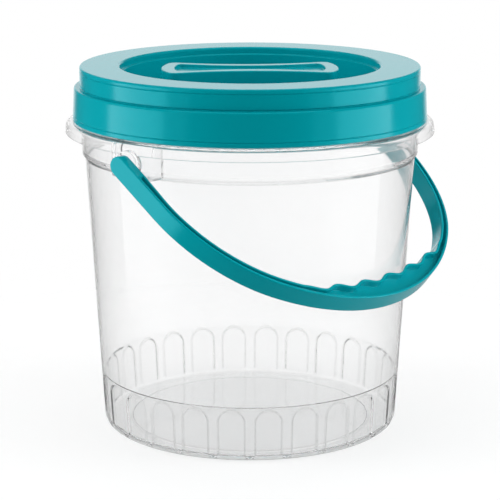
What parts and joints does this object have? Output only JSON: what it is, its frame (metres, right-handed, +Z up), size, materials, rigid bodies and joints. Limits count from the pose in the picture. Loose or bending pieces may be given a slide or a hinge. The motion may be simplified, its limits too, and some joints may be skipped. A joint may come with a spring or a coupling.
{
  "type": "food storage pail",
  "caption": "Round clear plastic food pail with a flared collar, an arched foot band, a teal screw lid with a turning grip in a well, and a swinging bail handle with a finger grip.",
  "frame": {"origin": "centre of the foot ring, on the surface that the pail stands on", "axes": "+Z up along the pail's axis; the handle's pivot axis lies along X; the handle hangs towards -Y"},
  "size_m": [0.241, 0.2227, 0.219],
  "materials": {
    "clear_plastic": "clear moulded polypropylene, faintly hazy",
    "teal_plastic": "satin-gloss moulded polypropylene",
    "seal_rubber": "soft matt elastomer"
  },
  "bodies": {
    "pail": {"pail_body": "clear_plastic"},
    "seal": {"lid_seal": "seal_rubber"},
    "lid": {"lid": "teal_plastic"},
    "handle": {"bail_handle": "teal_plastic"}
  },
  "joints": [
    {"name": "lid_rise", "type": "slide", "parent": "pail", "child": "seal", "axis": [0, 0, 1], "range_m": [0, 0.03]},
    {"name": "lid_turn", "type": "hinge", "parent": "seal", "child": "lid", "pos_m": [0, 0, 0.2], "axis": [0, 0, 1], "range_deg": [0, 360]},
    {"name": "bail_swing", "type": "hinge", "parent": "pail", "child": "handle", "pos_m": [0, 0, 0.175], "axis": [-1, 0, 0], "range_deg": [0, 252]}
  ],
  "couplings": [
    {"joint": "lid_rise", "follows": "lid_turn", "m_per_rad": 0.00477}
  ]
}
